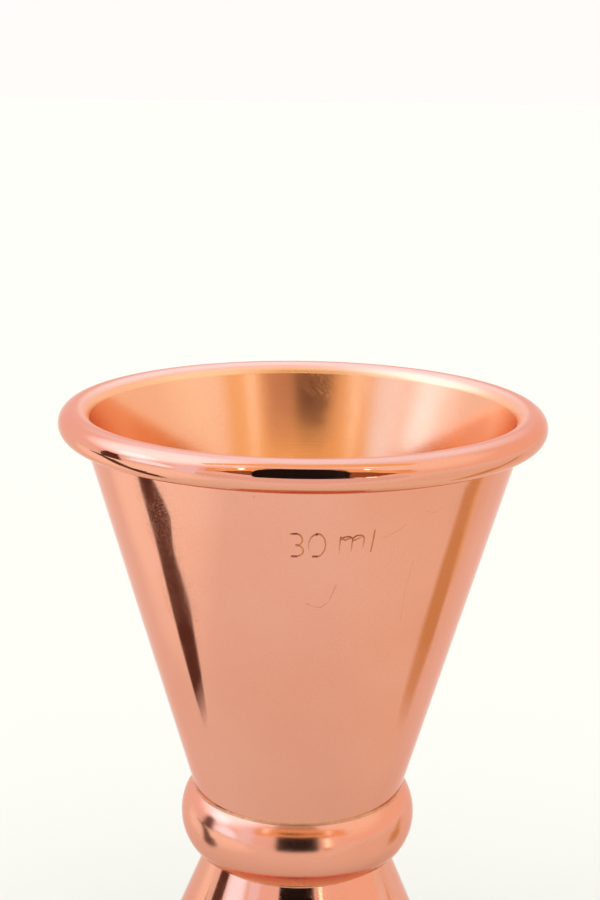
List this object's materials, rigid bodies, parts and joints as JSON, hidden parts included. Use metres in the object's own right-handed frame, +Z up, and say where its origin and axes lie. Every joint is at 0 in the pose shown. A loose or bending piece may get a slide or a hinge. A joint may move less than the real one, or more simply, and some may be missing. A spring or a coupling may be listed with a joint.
{
  "type": "bar jigger",
  "caption": "Double-ended bar measure: two flared copper-plated cups with rolled rims, joined back to back at a rounded waist collar.",
  "frame": {"origin": "centre of the ring on which the lower cup's rim rests", "axes": "+Z up along the axis of both cups, towards the larger cup's mouth; the part is round, so +X and +Y are free, and the larger cup's mark faces -Y"},
  "size_m": [0.0468, 0.0468, 0.0714],
  "materials": {
    "upper_cup_copper_plate": "stainless steel sheet with a polished copper plate, satin inside",
    "lower_cup_copper_plate": "stainless steel sheet with a polished copper plate, satin inside",
    "collar_copper_plate": "formed steel band with a polished copper plate",
    "braze_alloy": "as brazed",
    "solder": "wiped flush and plated over with copper"
  },
  "bodies": {
    "root": {"upper_cup": "upper_cup_copper_plate", "lower_cup": "lower_cup_copper_plate", "waist_collar": "collar_copper_plate", "braze_disc": "braze_alloy", "collar_upper_solder_ring": "solder", "collar_lower_solder_ring": "solder"}
  },
  "joints": []
}
